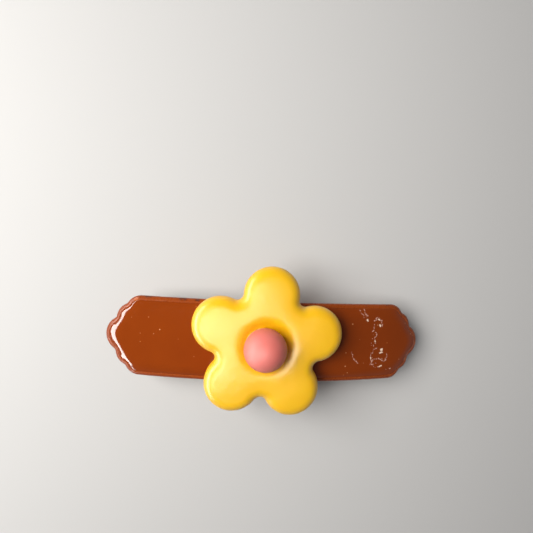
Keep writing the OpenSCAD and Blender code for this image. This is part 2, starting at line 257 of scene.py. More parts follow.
def bar_arcs(length, width):
    """Arcs round the whole bar: (centre, radius, start, sweep, +1 lobe or -1 notch)."""
    half, edge = length / 2, width / 2
    corner_r, side_r, tip_r, notch_r = 3.2 * MM, 3.15 * MM, 3.6 * MM, 0.85 * MM
    side_in, corner_in = 5.3 * MM, 7.25 * MM
    tip = Vector((half - tip_r, 0))
    side = Vector((half - side_in, (edge - corner_r) * 2 / 3))
    corner = Vector((half - corner_in, edge - corner_r))
    near = tangent_centre(tip, tip_r, side, side_r, notch_r)
    far = tangent_centre(side, side_r, corner, corner_r, notch_r)
    marks = [
        (tip, tip_r, 0, heading(tip, near), 1),
        (near, notch_r, heading(near, tip), heading(near, side), -1),
        (side, side_r, heading(side, near), heading(side, far), 1),
        (far, notch_r, heading(far, side), heading(far, corner), -1),
        (corner, corner_r, heading(corner, far), math.pi / 2, 1),
    ]
    arcs = []
    for mx in (1, -1):
        for my in (1, -1):
            for centre, radius, start, end, kind in marks:
                sweep = swing(start, end, kind)
                at = Vector((centre.x * mx, centre.y * my))
                first = start if mx > 0 else math.pi - start
                first, sweep = (first, sweep) if my > 0 else (-first, -sweep)
                arcs.append((at, radius, first, sweep * mx, kind))
    return arcs


def petal_arcs(radius, reach, notch_r, turn):
    """Arcs round the whole flower, in the form that bar_arcs gives."""
    step = ROUND / PETALS
    arcs = []
    for i in range(PETALS):
        at = turn + i * step
        here = reach * Vector((math.cos(at), math.sin(at)))
        after = reach * Vector((math.cos(at + step), math.sin(at + step)))
        notch = tangent_centre(here, radius, after, radius, notch_r)
        edge = swing(at, heading(here, notch), 1)
        arcs.append((here, radius, at - edge, 2 * edge, 1))
        start, end = heading(notch, here), heading(notch, after)
        arcs.append((notch, notch_r, start, swing(start, end, -1), -1))
    return arcs


def draw_ring(bm, arcs, spacing, z):
    """Spins edges round the arcs, and notes the outward way at each point."""
    outward = bm.verts.layers.float_vector.new("outward")
    for centre, radius, start, sweep, kind in arcs:
        way = Vector((math.cos(start), math.sin(start), 0))
        middle = Vector((centre.x, centre.y, z))
        first = bmesh.ops.create_vert(bm, co=middle + way * radius)["vert"]
        before = set(bm.verts)
        steps = max(4, round(abs(sweep) * radius / spacing))
        bmesh.ops.spin(bm, geom=first, cent=middle, axis=(0, 0, 1), angle=sweep, steps=steps)
        for vert in first + [v for v in bm.verts if v not in before]:
            vert[outward] = (vert.co - middle).normalized() * kind
    bmesh.ops.remove_doubles(bm, verts=bm.verts, dist=MERGE)
    return outward


def join_sides(bm, outward, spacing):
    """Closes the two long edges of the bar with straight runs of even steps."""
    for side in (1, -1):
        ends = [v for v in bm.verts if len(v.link_edges) == 1 and v.co.y * side > 0]
        left, right = sorted(ends, key=lambda v: v.co.x)
        steps = round((right.co.x - left.co.x) / spacing)
        hop = Vector(((right.co.x - left.co.x) / steps, 0, 0))
        before = set(bm.verts)
        bmesh.ops.spin(bm, geom=[left], cent=(0, 0, 0), axis=(0, 0, 1), dvec=hop,
                       angle=0, steps=steps)
        for vert in bm.verts:
            if vert not in before:
                vert[outward] = (0, side, 0)
    bmesh.ops.remove_doubles(bm, verts=bm.verts, dist=MERGE)


def calm(ring, passes):
    """Evens out the waves of a ring of edges, as surface tension does."""
    beside = {}
    for edge in ring:
        for vert in edge.verts:
            beside.setdefault(vert, []).append(edge.other_vert(vert))
    for _ in range(passes):
        places = {v: (v.co * 2 + a.co + b.co) / 4 for v, (a, b) in beside.items()}
        for vert, place in places.items():
            vert.co = place


def loft(bm, ring, outward, profile, passes=0):
    """Extrudes a ring of edges along a profile of (inset, height) pairs."""
    inset = profile[0][0]
    for new_inset, height in profile[1:]:
        made = bmesh.ops.extrude_edge_only(bm, edges=ring)["geom"]
        verts = {v for v in made if isinstance(v, bmesh.types.BMVert)}
        for vert in verts:
            vert.co -= vert[outward] * (new_inset - inset)
            vert.co.z = height
        ring = [e for e in made if isinstance(e, bmesh.types.BMEdge)
                and e.verts[0] in verts and e.verts[1] in verts]
        if passes:
            calm(ring, passes)
        inset = new_inset
    return ring


def cap(bm, ring, spacing):
    """Closes a flat ring and cuts the face into an even grid that can be bent.

    The cuts stay a little off the middle of the ring, so that they miss its points.
    """
    off_middle = 0.137
    geom = bmesh.ops.triangle_fill(bm, edges=ring, use_beauty=True)["geom"]
    faces = [f for f in geom if isinstance(f, bmesh.types.BMFace)]
    verts = {v for f in faces for v in f.verts}
    for axis in (0, 1):
        low = min(v.co[axis] for v in verts)
        high = max(v.co[axis] for v in verts)
        count = max(2, round((high - low) / spacing))
        for i in range(1, count):
            at, way = Vector((0, 0, 0)), Vector((0, 0, 0))
            at[axis] = low + (high - low) * (i + off_middle) / count
            way[axis] = 1
            parts = {g for f in faces for g in (f, *f.edges, *f.verts)}
            cut = bmesh.ops.bisect_plane(bm, geom=list(parts), dist=MERGE,
                                         plane_co=at, plane_no=way)["geom"]
            faces = [f for f in cut if isinstance(f, bmesh.types.BMFace)]
    return faces


def arched(co):
    """A point of the flat bar, moved onto the arch."""
    return Vector((co.x, co.y, math.sqrt((ARCH_R + co.z) ** 2 - co.x ** 2) - ARCH_R))


def finish_mesh(bm, name, material, body, slot, *nodes, sharp=None):
    """Makes a closed, smooth object of a bmesh, and says where it belongs."""
    bmesh.ops.dissolve_degenerate(bm, dist=MERGE, edges=bm.edges)
    bmesh.ops.recalc_face_normals(bm, faces=bm.faces)
    for face in bm.faces:
        face.smooth = True
    if sharp is not None:
        for edge in bm.edges:
            edge.smooth = edge.calc_face_angle(0) < sharp
    mesh = bpy.data.meshes.new(name)
    bm.to_mesh(mesh)
    bm.free()
    if "outward" in mesh.attributes:
        mesh.attributes.remove(mesh.attributes["outward"])
    piece = bpy.data.objects.new(name, mesh)
    bpy.context.scene.collection.objects.link(piece)
    mesh.materials.append(material)
    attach(piece, body)
    if nodes:
        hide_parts(*nodes)
    return piece


# -------------------------------------------------------- material helpers

class NodeMaker:
    """Short calls for laying out a node tree."""

    def __init__(self, tree):
        self.tree = tree

    def add(self, kind, inputs=None, **settings):
        node = self.tree.nodes.new(kind)
        for key, value in settings.items():
            setattr(node, key, value)
        for key, value in (inputs or {}).items():
            socket = node.inputs[key]
            if isinstance(value, bpy.types.NodeSocket):
                self.tree.links.new(value, socket)
            else:
                socket.default_value = value
        return node

    def math(self, operation, *values):
        return self.add("ShaderNodeMath", dict(enumerate(values)), operation=operation).outputs[0]

    def mix(self, factor, a, b):
        return self.add("ShaderNodeMix", {0: factor, 6: a, 7: b}, data_type="RGBA").outputs[2]

    def span(self, value, low, high, to_low=0.0, to_high=1.0, smooth=False):
        inputs = {"Value": value, "From Min": low, "From Max": high,
                  "To Min": to_low, "To Max": to_high}
        kind = "SMOOTHSTEP" if smooth else "LINEAR"
        return self.add("ShaderNodeMapRange", inputs, interpolation_type=kind).outputs[0]

    def largest(self, values):
        top = values[0]
        for value in values[1:]:
            top = self.math("MAXIMUM", top, value)
        return top

    def noise(self, coords, scale, detail=2.0, rough=0.5, distortion=0.0):
        inputs = {"Vector": coords, "Scale": scale, "Detail": detail,
                  "Roughness": rough, "Distortion": distortion}
        return self.add("ShaderNodeTexNoise", inputs).outputs["Fac"]

    def group(self, name, **inputs):
        node = self.add("ShaderNodeGroup", node_tree=bpy.data.node_groups[name])
        for key, value in inputs.items():
            socket = node.inputs[key.replace("_", " ")]
            if isinstance(value, bpy.types.NodeSocket):
                self.tree.links.new(value, socket)
            else:
                socket.default_value = value
        return node.outputs


def new_group(name, inputs, outputs):
    """A shader node group that takes coordinates and numbers, and puts out numbers."""
    tree = bpy.data.node_groups.new(name, "ShaderNodeTree")
    tree.interface.new_socket("Coordinates", in_out="INPUT", socket_type="NodeSocketVector")
    for label, value in inputs.items():
        socket = tree.interface.new_socket(label, in_out="INPUT", socket_type="NodeSocketFloat")
        socket.default_value = value
    for label in outputs:
        tree.interface.new_socket(label, in_out="OUTPUT", socket_type="NodeSocketFloat")
    maker = NodeMaker(tree)
    return maker, maker.add("NodeGroupInput").outputs, maker.add("NodeGroupOutput")


def build_groups():
    """Effects that several finishes share."""
    # Slow change of tone over a surface
    maker, given, out = new_group("cloudy_tone", {"Scale": 150.0, "Contrast": 1.0}, ["Tone"])
    cloud = maker.noise(given["Coordinates"], given["Scale"], 3, 0.55, 0.3)
    spread = maker.math("MULTIPLY", maker.math("SUBTRACT", cloud, 0.5), given["Contrast"])
    tone = maker.math("ADD", spread, 0.5)
    clamped = maker.add("ShaderNodeClamp", {"Value": tone}).outputs[0]
    maker.tree.links.new(clamped, out.inputs["Tone"])

    # Fine even grain, as a height
    maker, given, out = new_group("fine_grain", {"Scale": 4000.0}, ["Height"])
    coarse = maker.noise(given["Coordinates"], given["Scale"], 2, 0.6)
    finer = maker.noise(given["Coordinates"], maker.math("MULTIPLY", given["Scale"], 2.7), 1)
    grain = maker.math("ADD", maker.math("MULTIPLY", coarse, 0.65),
                       maker.math("MULTIPLY", finer, 0.35))
    maker.tree.links.new(grain, out.inputs["Height"])

    # Scattered round specks: one in some of the cells, each of its own size
    maker, given, out = new_group(
        "scattered_specks", {"Scale": 900.0, "Share": 0.1, "Size": 0.2}, ["Mask", "Pick"])
    cells = maker.add("ShaderNodeTexVoronoi", {
        "Vector": given["Coordinates"], "Scale": given["Scale"], "Randomness": 1.0})
    pick = maker.add("ShaderNodeSeparateColor", {"Color": cells.outputs["Color"]})
    chosen = maker.math("LESS_THAN", pick.outputs[0], given["Share"])
    size = maker.math("MULTIPLY", given["Size"],
                      maker.span(pick.outputs[1], 0, 1, 0.4, 1))
    near = maker.math("SUBTRACT", 1, maker.math("DIVIDE", cells.outputs["Distance"], size))
    dot = maker.span(near, 0, 0.4, smooth=True)
    maker.tree.links.new(maker.math("MULTIPLY", dot, chosen), out.inputs["Mask"])
    maker.tree.links.new(pick.outputs[2], out.inputs["Pick"])

    # A thin curved thread of painted glint in the plane of the bar: part of a ring, round a
    # heading
    maker, given, out = new_group(
        "glint_thread", {"X": 0.0, "Y": 0.0, "Radius": 0.002, "Heading X": 1.0,
                          "Heading Y": 0.0, "Opening": 0.0, "Width": 0.0001}, ["Mask"])
    place = maker.add("ShaderNodeSeparateXYZ", {"Vector": given["Coordinates"]}).outputs
    across = maker.math("SUBTRACT", place["Y"], given["Y"])
    along = maker.math("SUBTRACT", place["X"], given["X"])
    reach = maker.math("SQRT", maker.math("ADD", maker.math("MULTIPLY", along, along),
                                          maker.math("MULTIPLY", across, across)))
    off = maker.math("ABSOLUTE", maker.math("SUBTRACT", reach, given["Radius"]))
    line = maker.math("SUBTRACT", 1, maker.math("DIVIDE", off, given["Width"]))
    turn = maker.math("ARCTAN2", across, along)
    spot = maker.add("ShaderNodeCombineXYZ", {"X": turn, "Y": given["X"], "Z": given["Radius"]})
    gaps = maker.noise(spot.outputs[0], 4.0, 1)
    shown = maker.span(gaps, 0.36, 0.46, smooth=True)
    facing = maker.math("ADD", maker.math("MULTIPLY", along, given["Heading X"]),
                        maker.math("MULTIPLY", across, given["Heading Y"]))
    facing = maker.math("DIVIDE", facing, maker.math("MAXIMUM", reach, 1e-6))
    near = maker.math("GREATER_THAN", facing, given["Opening"])
    shown = maker.math("MULTIPLY", shown, near)
    line = maker.add("ShaderNodeClamp", {"Value": line}).outputs[0]
    maker.tree.links.new(maker.math("MULTIPLY", line, shown), out.inputs["Mask"])

    # Long fine marks of rolling and handling on metal
    maker, given, out = new_group("drawn_lines", {"Scale": 1.0}, ["Lines", "Scratches"])
    scaled = maker.add("ShaderNodeVectorMath", {
        0: given["Coordinates"], "Scale": given["Scale"]}, operation="SCALE").outputs[0]
    along = maker.add("ShaderNodeMapping", {
        "Vector": scaled, "Scale": (120, 7000, 7000)}).outputs[0]
    lines = maker.noise(along, 1.0, 3, 0.6)
    crossing = maker.add("ShaderNodeMapping", {
        "Vector": scaled, "Rotation": (0, 0, 0.5), "Scale": (260, 5200, 2600)}).outputs[0]
    marks = maker.span(maker.noise(crossing, 1.0, 2), 0.66, 0.72)
    maker.tree.links.new(lines, out.inputs["Lines"])
    maker.tree.links.new(marks, out.inputs["Scratches"])

    # Where a raised edge is rubbed; on the paint it is also lightened as a painted highlight
    maker, given, out = new_group("rubbed_and_highlit_edges", {"Scale": 900.0, "Amount": 0.5}, ["Mask"])
    sharpness = maker.add("ShaderNodeNewGeometry").outputs["Pointiness"]
    broken = maker.noise(given["Coordinates"], given["Scale"], 4, 0.65)
    ragged = maker.math("ADD", sharpness,
                        maker.math("MULTIPLY", maker.math("SUBTRACT", broken, 0.5), 0.16))
    rub_and_highlight = maker.span(ragged, 0.53, 0.6, smooth=True)
    maker.tree.links.new(maker.math("MULTIPLY", rub_and_highlight, given["Amount"]), out.inputs["Mask"])


def new_material(name, **constants):
    """A material with its shader, and a maker for the nodes that drive it."""
    material = bpy.data.materials.new(name)
    material.use_nodes = True
    tree = material.node_tree
    shader = tree.nodes["Principled BSDF"]
    for label, value in constants.items():
        shader.inputs[label.replace("_", " ")].default_value = value
    maker = NodeMaker(tree)
    coords = maker.add("ShaderNodeTexCoord").outputs["Object"]
    return material, maker, shader, coords


def drive(maker, shader, **inputs):
    """Links varying values to the shader."""
    for label, value in inputs.items():
        maker.tree.links.new(value, shader.inputs[label.replace("_", " ")])


def bump(maker, height, distance, strength=1.0, normal=None):
    """A bumped normal, laid over another one if it is given."""
    inputs = {"Height": height, "Distance": distance, "Strength": strength}
    if normal is not None:
        inputs["Normal"] = normal
    return maker.add("ShaderNodeBump", inputs).outputs[0]


def rgba(colour, gain=1.0):
    """A colour with its gain and its alpha."""
    return tuple(min(1.0, c * gain) for c in colour) + (1.0,)


def blot(maker, coords, x, y, rx, ry, turn=0.0):
    """A soft round mask in the plane of the bar, at x, y in millimetres."""
    flat = maker.add("ShaderNodeMapping", {
        "Vector": coords, "Location": (-x * MM, -y * MM, 0)}).outputs[0]
    turned = maker.add("ShaderNodeMapping", {
        "Vector": flat, "Rotation": (0, 0, turn), "Scale": (1 / (rx * MM), 1 / (ry * MM), 0)
    }).outputs[0]
    reach = maker.add("ShaderNodeVectorMath", {0: turned}, operation="LENGTH").outputs["Value"]
    return maker.span(reach, 1.0, 0.35, smooth=True)


def enamel_material(bar):
    """Poured enamel: clear and glossy, with clouds, dust, pits and a patch of painted glints."""
    material, maker, shader, coords = new_material("enamel_brown")
    tone = maker.group("cloudy_tone", Coordinates=coords, Scale=110.0, Contrast=1.6)["Tone"]
    dust = maker.group("scattered_specks", Coordinates=coords, Scale=640.0, Share=0.3,
                       Size=0.15)
    fibre = maker.group("scattered_specks", Coordinates=coords, Scale=1700.0, Share=0.03,
                        Size=0.3)
    colour = maker.mix(tone, rgba(bar.enamel_deep), rgba(bar.enamel))
    dust_tint = maker.mix(maker.math("GREATER_THAN", dust["Pick"], 0.25),
                          (0.10, 0.015, 0.004, 1), (0.72, 0.22, 0.04, 1))
    colour = maker.mix(maker.math("MULTIPLY", dust["Mask"], 0.7), colour, dust_tint)
    colour = maker.mix(maker.math("MULTIPLY", fibre["Mask"], 0.7), colour, (0.8, 0.36, 0.16, 1))

    # Painted glints near the right end: broken threads, grain and bright flakes, painted
    # highlights that stand in for a light's reflection in the wavy enamel
    wobble = maker.add("ShaderNodeTexNoise", {"Vector": coords, "Scale": 1400.0, "Detail": 1.0})
    shift = maker.add("ShaderNodeVectorMath", {
        0: wobble.outputs["Color"], 1: (0.5, 0.5, 0.5)}, operation="SUBTRACT").outputs[0]
    shaken = maker.add("ShaderNodeVectorMath", {
        0: shift, 1: (0.0009, 0.0009, 0), 2: coords}, operation="MULTIPLY_ADD").outputs[0]
    broken = maker.span(maker.noise(coords, 3000, 1), 0.43, 0.56, 0.12, 1.0)
    threads = [maker.group("glint_thread", Coordinates=shaken, X=x * MM, Y=y * MM,
                           Radius=r * MM, Heading_X=math.cos(math.radians(heading)),
                           Heading_Y=math.sin(math.radians(heading)),
                           Opening=math.cos(math.radians(opening)), Width=0.17 * MM)["Mask"]
               for x, y, r, heading, opening in GLINT_THREADS]
    spots = [blot(maker, coords, *spot) for spot in GLINT_SPOTS]
    threads = maker.math("MULTIPLY", maker.largest(threads), broken)
    glint_grains = maker.group("scattered_specks", Coordinates=shaken, Scale=2000.0, Share=0.34,
                         Size=0.42)["Mask"]
    painted_glints = maker.math("MAXIMUM", threads, maker.math("MULTIPLY", glint_grains, maker.largest(spots)))
    glint_flake = maker.largest([blot(maker, shaken, *glint_flake) for glint_flake in GLINT_FLAKES])
    # The glints are painted in pale colours as highlights
    colour = maker.mix(maker.math("MULTIPLY", painted_glints, 0.9), colour, (0.95, 0.6, 0.48, 1))
    colour = maker.mix(glint_flake, colour, (1.0, 0.78, 0.6, 1))

    swell = maker.noise(coords, 160, 2)
    # The dust and the painted glints also bump and roughen the enamel
    marks = maker.math("MAXIMUM", dust["Mask"], painted_glints)
    normal = bump(maker, swell, 0.00005)
    normal = bump(maker, marks, 0.00004, 1.0, normal)
    rough = maker.span(marks, 0, 1, 0.05, 0.4)
    drive(maker, shader, Base_Color=colour, Roughness=rough, Normal=normal)
    return material


def paint_material(bar):
    """Brown paint on the plate, with worn dark chips along its upper edge and lighter rim edges,
    partly rubbed and partly a painted highlight.
    """
    material, maker, shader, coords = new_material("paint_brown", Specular_IOR_Level=0.3)
    tone = maker.group("cloudy_tone", Coordinates=coords, Scale=300.0, Contrast=1.4)["Tone"]
    colour = maker.mix(tone, rgba(bar.paint, 0.85), rgba(bar.paint, 1.1))
    ragged = maker.span(maker.noise(coords, 1500, 3, 0.6), 0.4, 0.5)
    placed = maker.largest([blot(maker, coords, *chip) for chip in CHIPS])
    chips = maker.math("MAXIMUM", maker.math("MULTIPLY", placed, ragged),
                       maker.span(maker.noise(coords, 420, 5, 0.6), 0.67, 0.7))
    colour = maker.mix(maker.math("MULTIPLY", chips, 0.8), colour, (0.06, 0.02, 0.015, 1))
    # The raised rim edges are painted lighter: partly rubbed wear, partly a painted highlight
    # where light catches the rim
    rub_and_highlight = maker.group("rubbed_and_highlit_edges", Coordinates=coords, Scale=1300.0, Amount=0.35)["Mask"]
    colour = maker.mix(rub_and_highlight, colour, (0.7, 0.2, 0.05, 1))
    grain = maker.group("fine_grain", Coordinates=coords, Scale=2500.0)["Height"]
    normal = bump(maker, grain, 0.00001)
    normal = bump(maker, maker.math("SUBTRACT", 1, chips), 0.00003, 0.7, normal)
    rough = maker.span(grain, 0.3, 0.7, 0.22, 0.36)
    drive(maker, shader, Base_Color=colour, Roughness=rough, Normal=normal)
    return material


def petal_material(flower):
    """Soft-touch yellow coat: matt and velvety, with a few moulding specks."""
    material, maker, shader, coords = new_material(
        "soft_touch_yellow", Specular_IOR_Level=0.95, Subsurface_Weight=0.12,
        Subsurface_Scale=0.0008, Subsurface_Radius=(1.0, 0.5, 0.1))
    tone = maker.group("cloudy_tone", Coordinates=coords, Scale=120.0, Contrast=1.3)["Tone"]
    colour = maker.mix(tone, rgba(flower.petal_deep), rgba(flower.petal))
    specks = maker.group("scattered_specks", Coordinates=coords, Scale=210.0, Share=0.035,
                         Size=0.07)["Mask"]
    colour = maker.mix(maker.math("MULTIPLY", specks, 0.8), colour, (0.32, 0.11, 0.01, 1))
    grain = maker.group("fine_grain", Coordinates=coords, Scale=5200.0)["Height"]
    ripple = maker.noise(coords, 260, 2)
    normal = bump(maker, ripple, 0.00008)
    normal = bump(maker, grain, 0.000022, 1.0, normal)
    normal = bump(maker, maker.math("SUBTRACT", 1, specks), 0.00004, 1.0, normal)
    rough = maker.span(grain, 0.3, 0.7, 0.3, 0.38)
    drive(maker, shader, Base_Color=colour, Roughness=rough, Normal=normal)
    return material


def ball_material(flower):
    """Satin pink lacquer on the ball."""
    material, maker, shader, coords = new_material(
        "satin_pink", Specular_IOR_Level=0.9, Subsurface_Weight=0.15,
        Subsurface_Scale=0.0008, Subsurface_Radius=(1.0, 0.5, 0.4))
    tone = maker.group("cloudy_tone", Coordinates=coords, Scale=260.0, Contrast=1.2)["Tone"]
    colour = maker.mix(tone, rgba(flower.ball, 0.92), rgba(flower.ball, 1.06))
    specks = maker.group("scattered_specks", Coordinates=coords, Scale=700.0, Share=0.03,
                         Size=0.12)["Mask"]
    colour = maker.mix(maker.math("MULTIPLY", specks, 0.5), colour, (0.45, 0.12, 0.1, 1))
    grain = maker.group("fine_grain", Coordinates=coords, Scale=4200.0)["Height"]
    normal = bump(maker, grain, 0.00002)
    rough = maker.span(grain, 0.3, 0.7, 0.5, 0.6)
    drive(maker, shader, Base_Color=colour, Roughness=rough, Normal=normal)
    return material


def glue_material(flower):
    """Clear adhesive that shows the yellow under it."""
    material, maker, shader, coords = new_material(
        "clear_adhesive", Coat_Weight=0.6, Coat_Roughness=0.05, Subsurface_Weight=0.3,
        Subsurface_Scale=0.0005, Subsurface_Radius=(1.0, 0.7, 0.3))
    tone = maker.group("cloudy_tone", Coordinates=coords, Scale=900.0, Contrast=1.6)["Tone"]
    colour = maker.mix(tone, rgba(flower.glue, 0.8), rgba(flower.glue))
    bubbles = maker.group("scattered_specks", Coordinates=coords, Scale=3500.0, Share=0.2,
                          Size=0.3)["Mask"]
    colour = maker.mix(maker.math("MULTIPLY", bubbles, 0.5), colour, (1, 0.86, 0.5, 1))
    normal = bump(maker, maker.math("ADD", bubbles, tone), 0.00005)
    rough = maker.span(tone, 0, 1, 0.12, 0.3)
    drive(maker, shader, Base_Color=colour, Roughness=rough, Normal=normal)
    return material


def steel_material(name, colour, rough_low, rough_high, line_depth):
    """Plated steel with drawing lines, scratches, tarnish and rubbed edges."""
    material, maker, shader, coords = new_material(name, Metallic=1.0)
    marks = maker.group("drawn_lines", Coordinates=coords, Scale=1.0)
    tarnish = maker.group("cloudy_tone", Coordinates=coords, Scale=420.0, Contrast=1.8)["Tone"]
    rub_and_highlight = maker.group("rubbed_and_highlit_edges", Coordinates=coords, Scale=1600.0, Amount=0.8)["Mask"]
    pits = maker.group("scattered_specks", Coordinates=coords, Scale=1500.0, Share=0.07,
                       Size=0.22)["Mask"]
    base = maker.mix(tarnish, rgba(colour, 0.8), rgba(colour, 1.04))
    base = maker.mix(rub_and_highlight, base, rgba((0.86, 0.84, 0.8)))
    base = maker.mix(maker.math("MULTIPLY", pits, 0.55), base, rgba(colour, 0.42))
    base = maker.mix(maker.math("MULTIPLY", marks["Scratches"], 0.35), base, rgba(colour, 1.25))
    rough = maker.span(marks["Lines"], 0.3, 0.7, rough_low, rough_high)
    rough = maker.math("ADD", rough, maker.math("MULTIPLY", marks["Scratches"], 0.1))
    rough = maker.math("ADD", rough, maker.math("MULTIPLY", pits, 0.2))
    normal = bump(maker, marks["Lines"], line_depth)
    normal = bump(maker, maker.math("SUBTRACT", 1, maker.math("ADD", pits, marks["Scratches"])),
                  0.000012, 1.0, normal)
    drive(maker, shader, Base_Color=base, Roughness=rough, Normal=normal)
    return material


def floor_material(studio):
    """Matt pale card."""
    material, maker, shader, coords = new_material("pale_floor", Roughness=0.7)
    tone = maker.group("cloudy_tone", Coordinates=coords, Scale=6.0, Contrast=0.8)["Tone"]
    colour = maker.mix(tone, rgba(studio.floor, 0.98), rgba(studio.floor))
    drive(maker, shader, Base_Color=colour)
    return material


# --------------------------------------------------------------- operators

class CLIP_OT_plate(bpy.types.Operator):
    """Builds the painted plate with its rounded, scalloped rim"""
    bl_idname = "hair_clip.plate"
    bl_label = "Painted Plate"

    def execute(self, context):
        bar = context.scene.clip_bar
        bm = bmesh.new()
        arcs = bar_arcs(bar.length, bar.width)
        start = (PLATE_Z + RIM_Z) / 2
        curve_step, side_step, grid_step = 0.28 * MM, 0.7 * MM, 1.0 * MM
        outward = draw_ring(bm, arcs, curve_step, start)
        join_sides(bm, outward, side_step)
        ring = bm.edges[:]
        under = [(0, start), (0, 1.02 * MM), (0.06 * MM, 0.83 * MM), (0.17 * MM, 0.68 * MM),
                 (0.36 * MM, PLATE_Z), (1.8 * MM, PLATE_Z)]
        rim = bar.rim
        over = [(0, start), (0, 1.45 * MM), (0.015 * MM, 1.55 * MM), (0.06 * MM, 1.67 * MM),
                (0.14 * MM, 1.78 * MM), (0.25 * MM, 1.88 * MM), (0.38 * MM, 1.96 * MM),
                (0.58 * MM, 2.06 * MM), (rim - 0.08 * MM, 2.13 * MM), (rim, 2.1 * MM),
                (rim + 0.06 * MM, 2.05 * MM), (rim + 0.12 * MM, FLOOR_Z)]
        bottom = loft(bm, ring, outward, under)
        top = loft(bm, ring, outward, over)
        cap(bm, bottom, grid_step)
        cap(bm, top, grid_step)
        for vert in bm.verts:
            vert.co = arched(vert.co)
        finish_mesh(bm, "painted_plate", paint_material(bar), "bar", "bar_paint", "bar_plate")
        return {"FINISHED"}


class CLIP_OT_enamel(bpy.types.Operator):
    """Pours the domed enamel inside the rim"""
    bl_idname = "hair_clip.enamel"
    bl_label = "Enamel"

    def execute(self, context):
        bar = context.scene.clip_bar
        bm = bmesh.new()
        base = RIM_Z - 0.35 * MM
        curve_step, side_step, top_step, base_step = 0.25 * MM, 0.6 * MM, 0.8 * MM, 1.0 * MM
        outward = draw_ring(bm, bar_arcs(bar.length, bar.width), curve_step, base)
        join_sides(bm, outward, side_step)
        for vert in bm.verts:
            vert.co -= vert[outward] * bar.rim
        ring = bm.edges[:]
        # The lip and the roll-off are measured down from the top of the enamel, at zero
        lip = [(0, base), (0, -0.6 * MM), (0.01 * MM, -0.56 * MM), (0.04 * MM, -0.515 * MM),
               (0.09 * MM, -0.475 * MM)]
        first, steps, crowding, power, evening = 0.16 * MM, 14, 1.15, 2.2, 16
        insets = [first + (bar.roll - first) * (i / steps) ** crowding
                  for i in range(steps + 1)]
        roll = [lip[-1]]
        roll += [(inset, -bar.roll_drop * (1 - inset / bar.roll) ** power) for inset in insets]
        ring = loft(bm, ring, outward, lip)
        top = loft(bm, ring, outward, roll, passes=evening)
        cap(bm, top, top_step)
        half = bar.width / 2
        for vert in bm.verts:
            if vert.co.z <= 0:
                vert.co.z += ENAMEL_Z - bar.crown * (vert.co.y / half) ** 2
        bottom = [e for e in bm.edges if e.is_boundary]
        cap(bm, bottom, base_step)
        for vert in bm.verts:
            vert.co = arched(vert.co)
        finish_mesh(bm, "enamel_dome", enamel_material(bar), "bar", "enamel", "enamel_fill")
        return {"FINISHED"}


class CLIP_OT_flower(bpy.types.Operator):
    """Moulds the puffy flower with its hollow middle"""
    bl_idname = "hair_clip.flower"
    bl_label = "Flower"

    def execute(self, context):
        flower = context.scene.clip_flower
        bm = bmesh.new()
        arcs = petal_arcs(flower.petal_radius, flower.reach, flower.notch, flower.turn)
        waist = FLOWER_Z + 2.2 * MM
        curve_step, top_step, base_step = 0.3 * MM, 0.55 * MM, 1.2 * MM
        outward = draw_ring(bm, arcs, curve_step, waist)
        ring = bm.edges[:]
        # Over the waist: a round edge as wide as puff, then a shallow dome up to middle
        puff, middle, dome, power = 2.3 * MM, 4.8 * MM, 0.4 * MM, 2.4
        round_steps, dome_steps, low_steps = 22, 8, 10
        insets = [puff * (1 - math.cos(math.pi / 2 * i / round_steps))
                  for i in range(round_steps + 1)]
        insets += [puff + (middle - puff) * i / dome_steps for i in range(1, dome_steps + 1)]
        over = []
        for inset in insets:
            rise = (1 - max(0.0, 1 - inset / puff) ** power) ** (1 / power)
            sag = dome * (1 - inset / middle) ** 2
            over.append((inset, waist + (FLOWER_TOP - waist - sag) * rise))
        # Under the waist: a quarter of an ellipse
        low = 2.1 * MM
        under = []
        for i in range(low_steps + 1):
            turn = math.pi / 2 * i / low_steps
            under.append((low * (1 - math.cos(turn)),
                          waist - (waist - FLOWER_Z) * math.sin(turn)))
        bottom = loft(bm, ring, outward, under)
        top = loft(bm, ring, outward, over)
        cap(bm, bottom, base_step)
        cap(bm, top, top_step)
        # The hollow falls from edge to inner, and the petals fall towards their ends
        inner, edge, fall = 2.6 * MM, 7.2 * MM, 3.0
        for vert in bm.verts:
            reach = math.hypot(vert.co.x, vert.co.y)
            share = max(0.0, (vert.co.z - waist) / (FLOWER_TOP - waist))
            if reach < edge and share > 0:
                slope = math.pi * max(0.0, reach - inner) / (edge - inner)
                vert.co.z -= share * flower.hollow * ((1 + math.cos(slope)) / 2) ** 2
            vert.co.z -= share * fall * reach ** 2
        bmesh.ops.translate(bm, verts=bm.verts, vec=FLOWER_AT)
        finish_mesh(bm, "moulded_flower", petal_material(flower), "bar", "flower", "flower_body")
        return {"FINISHED"}


class CLIP_OT_ball(bpy.types.Operator):
    """Turns the ball, with a small flat under it"""
    bl_idname = "hair_clip.ball"
    bl_label = "Ball"

    def execute(self, context):
        flower = context.scene.clip_flower
        radius = (BALL_HIGH.z - BALL_LOW.z) / 2
        flat_share, arc_steps, turn_steps = 0.93, 56, 112
        foot = -flat_share * radius
        low = math.asin(foot / radius)
        bm = bmesh.new()
        first = Vector((radius * math.cos(low), 0, foot))
        arc = bmesh.ops.create_vert(bm, co=first)["vert"]
        bmesh.ops.spin(bm, geom=arc, cent=(0, 0, 0), axis=(0, -1, 0),
                       angle=math.pi / 2 - low, steps=arc_steps)
        bmesh.ops.spin(bm, geom=bm.verts[:] + bm.edges[:], cent=(0, 0, 0), axis=(0, 0, 1),
                       angle=ROUND, steps=turn_steps, use_merge=True)
        bmesh.ops.remove_doubles(bm, verts=bm.verts, dist=MERGE_SPUN)
        bmesh.ops.holes_fill(bm, edges=[e for e in bm.edges if e.is_boundary], sides=0)
        bmesh.ops.translate(bm, verts=bm.verts, vec=(BALL_HIGH + BALL_LOW) / 2)
        finish_mesh(bm, "satin_ball", ball_material(flower), "bar", "ball", "ball")
        return {"FINISHED"}


